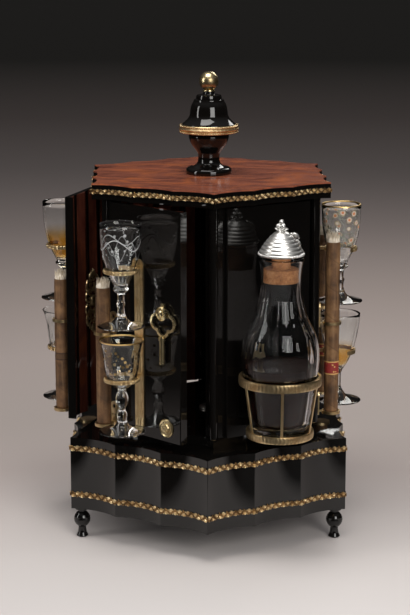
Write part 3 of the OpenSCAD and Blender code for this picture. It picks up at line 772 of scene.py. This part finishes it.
# %% Glass profiles
GLASS_A, GLASS_P = 31, 52.5
LOWER_LIFT, UPPER_LIFT = 8, 113.6
WALL = 1.2
UPPER = [(0.3, 0), (0.49, 0.12), (0.69, 0.27), (0.87, 0.48), (0.96, 0.7), (1, 1)]
LOWER = [(0.3, 0), (0.52, 0.1), (0.67, 0.22), (0.76, 0.42), (0.81, 0.66), (0.9, 0.9), (1, 1)]
SLIM = [(0.2, 0), (0.45, 0.14), (0.68, 0.34), (0.85, 0.58), (0.95, 0.8), (1, 1)]
UPPER_STEM = [(3.8, 13), (3.4, 19), (4.4, 22.4), (3.4, 25.4), (3.6, 32),
              (6.8, 35.2), (7.7, 36.6), (7.4, 38), (6.2, 38.8)]
LOWER_STEM = [(4.6, 13), (5.2, 18), (3.5, 21.5), (3.4, 24.5), (5.6, 28.5),
              (6.3, 33.5), (5.5, 38.5), (3.9, 41.5), (5.4, 44.4)]
SLIM_STEM = [(2.6, 14), (2.1, 20), (2.1, 28), (3, 31), (4, 33.5)]


def goblet(rim_r, high, low, shape, stem, cut=None, steps=60):
    """A stemmed glass in mm; cut(turn, z) says how deep the wheel has gone at a point."""
    outside = [(rim_r * r, low + (high - low) * z) for r, z in shape]
    inside = [(rim_r * r - WALL, low + 3 + (high - low - 3) * z) for r, z in shape]
    base = [(0, 0), (22.4, 0), (23, 0.35), (23, 0.8), (22.4, 1.2)]
    body = eased([(21.9, 1.35), (16.5, 2.4), (11.5, 4), (7.6, 6.2), (5.6, 8.8)] + stem + outside, 3)
    lip = [(rim_r - 0.3, high + 0.25), (rim_r - WALL + 0.3, high + 0.25)]
    hollow = eased(inside[::-1] + [(0.0, low + 2.6)], 3)
    bm = turned(base + body + lip + hollow, steps)
    if cut:
        limit = {round(z, 2): r for r, z in body}
        for v in bm.verts:
            r, z = v.co.xy.length / MM, v.co.z / MM
            skin = limit.get(round(z, 2))
            if skin is not None and abs(r - skin) < 0.02 and r > 1:
                v.co.xy *= (r - cut(atan2(v.co.y, v.co.x), z)) / r
    return bm


def window(z, low, high, ease=3.0):
    """1 between two heights, easing to 0 at both ends."""
    return max(0.0, min(1.0, (z - low) / ease, (high - z) / ease))


def flutes(count, deep, low, high):
    return lambda turn, z: deep * (0.5 - 0.5 * cos(count * turn)) * window(z, low, high)


def diamonds(count, deep, low, high, tall):
    def cut(turn, z):
        one = cos(count * turn / 2 + pi * z / tall)
        two = cos(count * turn / 2 - pi * z / tall)
        return deep * (1 - abs(one)) * (1 - abs(two)) * 2 * window(z, low, high)

    return cut


# %% Eight glasses
UPPER_LOOKS = {
    1: (painted_glass("painted_glass_right", 1, UPPER_LIFT, 0.1012, 0.055), flutes(12, 0.5, 40, 58)),
    2: (PLAIN_GLASS, flutes(12, 0.6, 40, 66)),
    4: (stained_glass("stained_glass_left", 4, UPPER_LIFT, 0.04, 0.075), flutes(10, 0.6, 40, 70)),
    5: (engraved_glass("engraved_glass", 5, UPPER_LIFT), flutes(12, 0.7, 40, 60)),
}
LOWER_LOOKS = {
    1: (stained_glass("stained_glass_right", 1, LOWER_LIFT, 0.036, 0.062), flutes(12, 0.6, 44, 78)),
    2: (PLAIN_GLASS, diamonds(12, 0.6, 52, 80, 10)),
    4: (PLAIN_GLASS, flutes(12, 0.6, 48, 80)),
    5: (gilded_glass("gilded_glass", 5, LOWER_LIFT, 0.0929), diamonds(12, 0.75, 54, 85, 10)),
}
for k in (1, 2, 4, 5):
    side = SIDES[k]
    finish, cut = UPPER_LOOKS[k]
    bm = goblet(20.3, 101, 39, UPPER, UPPER_STEM, cut, 72)
    piece("upper_goblet_" + side, bm, finish, "upper_glass_" + side,
          ["upper_glass_" + side], on_door(k, GLASS_A, GLASS_P, UPPER_LIFT), 60)
    finish, cut = LOWER_LOOKS[k]
    if k == 1:
        bm = goblet(21.2, 92.7, 34, SLIM, SLIM_STEM, cut, 72)
    else:
        bm = goblet(22.2, 92.7, 45, LOWER, LOWER_STEM, cut, 72)
    piece("lower_goblet_" + side, bm, finish, "lower_glass_" + side,
          ["lower_glass_" + side], on_door(k, GLASS_A, GLASS_P, LOWER_LIFT), 60)

# %% [markdown]
# The decanters are blown and cut: eight broad flat facets round the lower half turn into
# sixteen narrow flutes that run up over the shoulder and die out below the mouth, where
# the glass is drawn out into a small pouring lip. The profile is spun fine enough to carry
# both, and every point of the outer skin is drawn in by the facet or flute it lies on.

# %% Decanters
DEC_A, DEC_P, DEC_LIFT = 46, 47.5, 10
CURVE = [(27, 0), (28.5, 1.5), (31, 18), (34, 37), (36.4, 56), (37.9, 72), (38.2, 80), (37.5, 88),
         (35, 97), (31.4, 105), (27.8, 112), (24.6, 120), (22.3, 129), (20.5, 138), (19.7, 147),
         (19.7, 157), (20.4, 164), (21.4, 170), (21.8, 173)]


def curve_at(z):
    for (r, low), (s, high) in zip(CURVE, CURVE[1:]):
        if z <= high:
            return r + (s - r) * (z - low) / (high - low)
    return CURVE[-1][0]


def facet(turn, r):
    """How far a flat of an eight-sided cut lies inside the round."""
    part = (turn + pi / 8) % (pi / 4) - pi / 8
    return r * (1 - cos(pi / 8) / cos(part))


def drawn_in(turn, z, r):
    low = max(0.0, min(1.0, (66 - z) / 16)) * max(0.0, min(1.0, z / 5))
    rib = max(0.0, min(1.0, (z - 50) / 18)) * max(0.0, min(1.0, (152 - z) / 14))
    flute = (0.5 - 0.5 * cos(16 * turn)) ** 0.7
    return 0.8 * low * facet(turn, r) + rib * (0.35 + 0.02 * r) * flute


def decanter():
    wall = 2.6
    outer = [(0, 0), (26.4, 0)] + eased([(27.4, 0.8), (28.6, 3), (29.8, 10)] + CURVE[2:], 4)
    rim = [(21.7, 173.6), (21.1, 173.9), (20.1, 173.6)]
    heights = [172, 168, 160, 150, 140, 130, 120, 112, 104, 96, 88, 80, 68, 52, 36, 20, 14]
    inner = [(curve_at(z) - wall, z) for z in heights] + [(24.5, 9), (21, 7), (12, 6.1), (0, 6)]
    bm = turned(outer + rim + eased(inner, 2), 128)
    skin = {round(z, 2): r for r, z in outer}
    for v in bm.verts:
        r, z = v.co.xy.length / MM, v.co.z / MM
        turn = atan2(v.co.y, v.co.x)
        if r > 1 and abs(r - skin.get(round(z, 2), -9)) < 0.02:
            v.co.xy *= (r - drawn_in(turn, z, r)) / r
        top = max(0.0, (z - 157) / 16)
        pull = 3.4 * top * top * max(0.0, -sin(turn)) ** 6 if r > 5 else 0.0
        v.co.xy *= 1 + pull / max(r, 1)
        v.co.z += 0.6 * pull * MM
    return bm


def wine():
    film = 0.4
    levels = [9, 14, 20, 28, 36, 44, 52, 60, 67.4]
    side_line = [((24.0 if z < 12 else curve_at(z) - 2.6) - film, z) for z in levels]
    meniscus = [(curve_at(68) - 2.9, 68.4), (curve_at(68) - 4.5, 67.9), (0, 67.8)]
    bm = turned([(0, 6.5), (20.5, 7.4)] + side_line + meniscus, 96)
    for v in bm.verts:
        r, z = v.co.xy.length / MM, v.co.z / MM
        if r > 5:
            turn = atan2(v.co.y, v.co.x)
            v.co.xy *= (r - 0.3 * max(0.0, min(1.0, (66 - z) / 16)) * facet(turn, r)) / r
    return bm


def stopper_cork():
    line = eased([(16.5, 150.5), (17, 151.3), (17.1, 156), (17.1, 162.5), (16.8, 163.6)], 4)
    return turned([(0, 150.5)] + line + [(9.2, 164), (9, 175.8), (0, 175.8)], 48)


for k in (0, 3):
    side = SIDES[k]
    place = on_door(k, DEC_A, DEC_P, DEC_LIFT)
    piece("fluted_decanter_" + side, decanter(), DECANTER_GLASS, "decanter_" + side,
          ["decanter_" + side], place, 60)
    piece("wine_" + side, wine(), LIQUOR, "decanter_" + side, ["liquor_" + side], place)
    piece("bark_cork_" + side, stopper_cork(), CORK, "stopper_" + side, ["cork_" + side], place)

# %% [markdown]
# The silver cap is a shallow dome of stepped rings, each one swelling over the next, with
# a corded edge, a thumb leaf at the side and a bud of three berries under a fourth. The
# steps are turned in the profile; cord, leaf and berries are small forms set on it.

# %% Silver caps
CAP_Z = 176.0


def silver_cap():
    line = [(0, 0), (21.2, 0), (22.2, 0.8), (22.3, 1.8), (21.6, 2.7)]
    steps = 6
    for i in range(steps):
        for part in (0.06, 0.3, 0.6, 0.92):
            h = (i + part) / steps
            swell = 1.0 * sin(pi * part) - 0.35
            line.append((3.2 + (18.2 + swell) * (1 - h) ** 0.62, 2.8 + 20.4 * h + 0.4 * swell))
    line += [(3.2, 23.9), (2.9, 24.6), (2.2, 26.0), (2.0, 27.4), (0, 27.6)]
    bm = turned(line, 72)
    cord = [
        spin(2 * pi * i / 60) @ shift(21.9, 0, 1.6)
        @ spin(0.7, "X") @ sized(0.8, 1.7, 0.9)
        for i in range(60)]
    scatter(bm, BEAD, cord)
    berries = [
        spin(2 * pi * i / 3) @ shift(2.7, 0, 28.3)
        @ sized(2.8, 2.7, 3.3) for i in range(3)]
    berries.append(shift(0, 0, 32.2) @ sized(2.5, 2.5, 3.0))
    scatter(bm, BEAD, berries)
    leaves = [
        spin(2 * pi * (i + 0.5) / 6) @ shift(4.2, 0, 24.2)
        @ spin(-0.5, "Y") @ sized(3.4, 4.0, 3.0) for i in range(6)]
    for turn, r, z, tilt in ((80, 15.5, 17.5, 0.75), (100, 16, 16.5, 0.8), (90, 19.5, 9.5, 1.15)):
        leaves.append(
            spin(radians(turn)) @ shift(r, 0, z)
            @ spin(tilt, "Y") @ sized(5.0, 6.0, 5.0))
    scatter(bm, LEAF, leaves)
    return bm


for k in (0, 3):
    side = SIDES[k]
    piece("silver_cap_" + side, silver_cap(), SILVER, "stopper_" + side, ["cap_" + side],
          on_door(k, DEC_A, DEC_P, DEC_LIFT + CAP_Z), 50)

# %% [markdown]
# The gilt basket round a decanter has a broad band chased like laid leaves, and the rings
# that hold the glasses are edged with cast flowers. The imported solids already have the
# bands, straps and arms, so only the chasing is added: a sleeve whose surface is pushed
# into overlapping scales, and small flowers on the rings, leaving the rings' openings free.

# %% Chased bands and flowers on the rings


def chased_band(r, low, high, scales, deep):
    """A sleeve in mm whose outside is pushed into rows of slanting scales."""
    rows = 10
    line = [(r, low)] + [(r + 0.3, low + (high - low) * i / rows) for i in range(rows + 1)] + [(r, high)]
    bm = turned(line, 6 * scales, closed=True)
    for v in bm.verts:
        size, z = v.co.xy.length / MM, v.co.z / MM
        if size > r + 0.15:
            turn = atan2(v.co.y, v.co.x)
            t = (z - low) / (high - low)
            scale_wave = abs(sin(scales * turn / 2 + 2.2 * abs(t - 0.5)))
            crown = max(0.0, 1 - (2 * t - 1) ** 4)
            v.co.xy *= (size + deep * scale_wave * crown) / size
    return bm


for k in (0, 3):
    side = SIDES[k]
    place = on_door(k, DEC_A, DEC_P, DEC_LIFT)
    piece("chased_band_" + side, chased_band(curve_at(58) + 3.05, 50, 58, 64, 0.45), CHASED, "door_" + side,
          (), place, 60)
    piece("chased_foot_ring_" + side, chased_band(curve_at(8) + 2.85, -2.4, 4.4, 54, 0.4), CHASED,
          "door_" + side, (), place, 60)


def ring_flowers(bm, r, level, gap):
    """Flowers round a ring, leaving out the opening that faces the pivot (-Y)."""
    count = round(2 * pi * (r + 1) / 4.4)
    for i in range(count):
        turn = 2 * pi * (i + 0.5) / count - pi / 2
        if abs((r + 1) * cos(turn)) < gap / 2 + 2.4 and sin(turn) < 0:
            continue
        out = Matrix(((0, 0, 1, 0), (1, 0, 0, 0), (0, 1, 0, 0), (0, 0, 0, 1)))
        spot = spin(turn) @ shift(r, 0, level) @ out
        scatter(bm, FLOWER, [spot @ spin(1.3 * i) @ sized(2.3, 2.3, 1.5)])


for k in (1, 2, 4, 5):
    side = SIDES[k]
    bm = bmesh.new()
    ring_flowers(bm, 14.5 + 1.85, UPPER_LIFT + 57 - 2, 17)
    ring_flowers(bm, (13.8 if k == 1 else 15.0) + 1.85, LOWER_LIFT + 55 - 2, 14)
    piece("ring_flowers_" + side, bm, CHASED, "door_" + side, (), on_door(k, GLASS_A, GLASS_P, 0))

# %% [markdown]
# A cigar is a roll of leaf, a little uneven and a little fatter in the middle, with its
# wrapper winding round it. The far end here is frayed: pale strands stand up like a brush.
# The roll is turned and then its points are nudged, and the brush is a bundle of slim
# bent blades over a soft dome.

# %% Cigars
LENGTHS = {1: 188, 2: 160, 4: 154, 5: 151}
FAR_P = {1: 94, 2: 91, 4: 94}


def rolled(long, seed):
    rng = random.Random(seed)
    top = long - 12
    line = [(0, 0), (5.2, 0), (6.4, 0.6)] + eased(
        [(7.1, 2), (7.3, 8), (7.45, 0.3 * long), (7.5, 0.5 * long),
         (7.4, 0.7 * long), (7.2, top - 6), (6.9, top)], 8)
    bm = turned(line + [(0, top + 0.2)], 40)
    waves = [(rng.uniform(0, 6.3), rng.uniform(0.04, 0.12), rng.uniform(25, 60)) for _ in range(3)]
    for v in bm.verts:
        r, z = v.co.xy.length / MM, v.co.z / MM
        if r < 4:
            continue
        turn = atan2(v.co.y, v.co.x)
        lap = ((z / 30 + turn / (2 * pi)) % 1.0) * 0.16
        uneven = sum(a * sin(z / c * 6.28 + 2 * turn + b) for b, a, c in waves)
        v.co.xy *= (r - 0.16 + lap + uneven * 0.6) / r
    return bm


def brush(long, seed):
    """Frayed strands over a soft dome at the head of a cigar."""
    rng = random.Random(seed)
    top = long - 12
    head = eased([(6.6, top + 1), (6.0, top + 3), (4.4, top + 5), (2.4, top + 6)], 3)
    bm = turned([(0, top - 0.5), (6.7, top - 0.5)] + head + [(0, top + 6.3)], 24)
    blade = bmesh.new()
    bmesh.ops.create_cone(blade, cap_ends=True, segments=5, radius1=0.5, radius2=0.1, depth=1)
    bmesh.ops.translate(blade, verts=blade.verts, vec=(0, 0, 0.5))
    bmesh.ops.subdivide_edges(
        blade, edges=[e for e in blade.edges if abs(e.verts[0].co.z - e.verts[1].co.z) > 0.5], cuts=2)
    for v in blade.verts:
        v.co.x += 1.1 * v.co.z * v.co.z
    blade = kept(blade, "strand")
    for i in range(130):
        turn, r = rng.uniform(0, 2 * pi), 6.2 * sqrt(rng.uniform(0.05, 1))
        high = rng.uniform(5.5, 10.5) * (1.1 - 0.35 * r / 6.4)
        spot = spin(turn) @ shift(r, 0, top + 1.2)
        lean = spin(rng.uniform(-0.3, 0.25), "Y") @ spin(rng.uniform(0, 6.3))
        scatter(bm, blade, [spot @ lean @ sized(1, 1, high)])
    for v in bm.verts:
        r = v.co.xy.length / MM
        v.co.xy *= min(1.0, 7.4 / max(r, 0.1))
        v.co.z = min(v.co.z, long * MM)
    return bm


RED_AND_GOLD = ((0.62, 0.36, 0.12), (0.26, 0.02, 0.015))
DARK_BAND = ((0.05, 0.02, 0.01), (0.1, 0.05, 0.02))
for k in (1, 2, 4, 5):
    side = SIDES[k]
    spots = [("near", 19.5, 14.5, LENGTHS[k])]
    if k in FAR_P:
        spots.append(("far", 16.8, FAR_P[k], LENGTHS[k] - 6))
    for where, a, p, long in spots:
        name = where + "_cigar_" + side
        band, colours = None, None
        if k == 1:
            band, colours = (0.040, 0.054), RED_AND_GOLD
        elif k == 4:
            band, colours = (0.052, 0.060), DARK_BAND
        leaf = wrapper_leaf("leaf_" + name, k, a, p, band, colours)
        place = on_door(k, a, p, 6.3)
        piece("rolled_" + name, rolled(long, len(name) + k), leaf, name, [name], place, 50)
        piece("frayed_" + name, brush(long, 7 * k + len(where)), FRAYED, name, (), place, 50)

# %% [markdown]
# On the middle of each veneered face sits a gilt openwork mount of scrolls round a flower.
# Cutting holes in a plate leaves it flat, so here the scrolls are round bars bent in arcs,
# with leaves fanned above and below, and every bar's end closed with a bead.

# %% Openwork mounts


def bent_bar(bm, x, y, r, start, sweep, thick):
    """A round bar bent in an arc in the XY plane, in mm, with rounded ends."""
    part = bmesh.new()
    bmesh.ops.create_circle(
        part, segments=7, radius=thick * MM,
        matrix=shift(r, 0, 0) @ spin(pi / 2, "X"))
    bmesh.ops.spin(
        part, geom=part.verts[:] + part.edges[:], cent=(0, 0, 0), axis=(0, 0, 1), angle=radians(sweep),
        steps=max(4, int(sweep / 18)))
    bmesh.ops.holes_fill(part, edges=[e for e in part.edges if e.is_boundary])
    bmesh.ops.recalc_face_normals(part, faces=part.faces)
    turn = shift(x, y, 0) @ spin(radians(start))
    scatter(bm, kept(part, "bar"), [turn])
    for way in (0, sweep):
        spot = turn @ spin(radians(way)) @ shift(r, 0, 0)
        scatter(bm, BEAD, [spot @ sized(1.7 * thick, 1.7 * thick, 1.7 * thick)])


MOUNT_LEAVES = ((12.5, 11.5, 60, 4.6), (17, 18.5, 100, 4.2), (7.5, 16, 40, 4), (9, 24.5, 120, 4.2))


def openwork():
    bm = bmesh.new()
    scatter(bm, FLOWER, [sized(6.4, 7.2, 4.2)])
    for i in range(18):
        turn = 2 * pi * i / 18
        scatter(bm, BEAD, [shift(9.4 * cos(turn), 11 * sin(turn), 0) @ sized(1.3, 1.3, 1.5)])
    for sx in (-1, 1):
        for sy in (-1, 1):
            flip = 0 if sx > 0 else 180
            bent_bar(bm, sx * 11, sy * 17, 6.6, flip - 60 * sy * sx - 120, 250, 1.0)
            bent_bar(bm, sx * 14.6, sy * 6.5, 4.6, flip + 30 * sy * sx - 110, 230, 0.9)
            bent_bar(bm, sx * 4.6, sy * 25, 4.2, flip - 100, 220, 0.8)
            scatter(bm, LEAF, [
                shift(sx * x, sy * y, 0.3)
                @ spin(radians(turn * sx * sy))
                @ sized(size, size, 0.7 * size)
                for x, y, turn, size in MOUNT_LEAVES])
    for sy in (-1, 1):
        for turn in (-34, -17, 0, 17, 34):
            scatter(bm, LEAF, [
                shift(0, sy * 22, 0.4) @ spin(radians(90 * sy + turn))
                @ shift(6.2, 0, 0)
                @ sized(6.2 - abs(turn) / 14, 4.2, 3.6)])
        bent_bar(bm, 0, 0, 13.4, 90 * sy - 26, 52, 0.9)
    return bm


FACING_OUT = Matrix(((0, 0, -1, 0), (-1, 0, 0, 0), (0, 1, 0, 0), (0, 0, 0, 1)))
for k, side in enumerate(SIDES):
    piece("openwork_mount_" + side, openwork(), CHASED, "door_" + side, ["door_mount_" + side],
          on_door(k, -3.9, 59.75, 114) @ FACING_OUT, 50)

# %% [markdown]
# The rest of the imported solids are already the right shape, so they only get their finish:
# lacquer on the wood, burr on the top, each door its own veneer, gilt and brass on the
# fittings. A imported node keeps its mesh, and only its material slots are filled.

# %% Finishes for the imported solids


def dress(node, finish):
    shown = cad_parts[node]
    if not shown.material_slots:
        shown.data.materials.append(finish)
    for place in shown.material_slots:
        place.material = finish


for node in ("base_box", "base_feet", "floor_plate", "corner_posts", "lid"):
    dress(node, BLACK)
dress("lid_veneer", LID_BURR)
for node in ("turning_pin", "finial_spindle"):
    dress(node, STEEL)
dress("hinge_pins", GILT)
for k, side in enumerate(SIDES):
    dress("door_" + side, DOOR_FINISHES[k])
for node in ("holder_front_right", "holder_back_left", "rack_right", "rack_back_right", "rack_left",
             "rack_front_left"):
    dress(node, GILT)
for node in ("key", "key_boss", "rosette"):
    dress(node, BRASS)
print("dressed", len([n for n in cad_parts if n]), "nodes")

# %% [markdown]
# The piece stands on a pale table that fades into a dark room, as in the photograph. The
# floor is one disc whose colour darkens with distance: a painted pool of light, pale in
# front of the piece and darker further off. Polished black wood shows what stands round
# it, so for mirrored rays the table also ends in front and at the sides: that gives the
# hollows of the base their dark and grey bands.

# %% Table and room
bm = bmesh.new()
bmesh.ops.create_circle(bm, cap_ends=True, segments=96, radius=14)
table_mesh = kept(bm, "table")
table = bpy.data.objects.new("table", table_mesh)
scene.collection.objects.link(table)

f = Finish("pale_table")
x, y, z = f.parts(f.where())
away = (x * x + (y + 0.5) * (y + 0.5)).root()
# Painted pool of light: the colour is pale half a metre in front of the piece and darkens with distance.
tone = f.ramp(
    away / 8,
    [(0.02, (0.68, 0.645, 0.63)), (0.05, (0.62, 0.575, 0.555)), (0.085, (0.40, 0.345, 0.325)),
     (0.11, (0.38, 0.33, 0.305)), (0.15, (0.40, 0.34, 0.315)), (0.2, (0.34, 0.285, 0.26)),
     (0.28, (0.24, 0.20, 0.185)), (0.39, (0.15, 0.125, 0.115)), (0.53, (0.09, 0.07, 0.062)),
     (0.8, (0.02, 0.017, 0.013))],
)
path = f.add("ShaderNodeLightPath").socket.node
mirrored = Value(f, path.outputs["Is Glossy Ray"]) * (1 - Value(f, path.outputs["Is Transmission Ray"]))
near = (x * x + y * y).root().fall(0.5, 0.72) * y.rise(-0.32, -0.25)
tone = f.mix(mirrored * (1 - near), tone, (0.006, 0.006, 0.006))
table.data.materials.append(f.done(f.surface(base_color=tone, roughness=0.7, ior=1.3)))

world = bpy.data.worlds.new("room")
world.use_nodes = True
scene.world = world
f = Finish("room", world)
direction = f.parts(f.add("ShaderNodeTexCoord", take="Generated"))
path = f.add("ShaderNodeLightPath").socket.node
rays = ("Is Camera Ray", "Is Glossy Ray", "Is Transmission Ray")
seen = sum((Value(f, path.outputs[ray]) for ray in rays), 0)
dark = f.ramp(
    direction[2],
    [(0.0, (0.012, 0.011, 0.01)), (0.3, (0.02, 0.018, 0.017)), (0.75, (0.12, 0.12, 0.12)),
     (1.0, (0.2, 0.2, 0.2))],
)
light = f.mix(seen.rise(0, 1), (0.42, 0.42, 0.43), dark)
glow = f.add("ShaderNodeBackground", None, {"Color": light, "Strength": 1.0})
f.add("ShaderNodeOutputWorld", None, {"Surface": glow})

# %% [markdown]
# One large soft box stands in front, to the right of the camera, and makes the window on
# the shoulder of the decanter. Another hangs overhead for the silver, the finial and the
# feet of the glasses, and a narrow one at the left draws the edges of the glass.

# %% Soft boxes


def soft_box(name, place, target, width, height, power):
    data = bpy.data.lights.new(name, "AREA")
    data.shape = "RECTANGLE"
    data.size, data.size_y = width, height
    data.energy = power
    data.color = (1, 0.98, 0.95)
    lamp = bpy.data.objects.new(name, data)
    lamp.location = place
    lamp.rotation_euler = (Vector(target) - Vector(place)).to_track_quat("-Z", "Y").to_euler()
    scene.collection.objects.link(lamp)


soft_box("front_box", (0.75, -1.75, 0.95), (0, 0, 0.22), 0.9, 0.9, 17)
soft_box("top_box", (-0.15, -0.35, 1.75), (0, 0, 0.2), 1.0, 0.8, 15)
soft_box("left_box", (-1.5, -0.5, 0.8), (0, 0, 0.25), 0.25, 1.0, 5)
soft_box("back_box", (0.6, 1.4, 1.3), (0, 0, 0.25), 0.8, 0.5, 6)
print("four soft boxes")
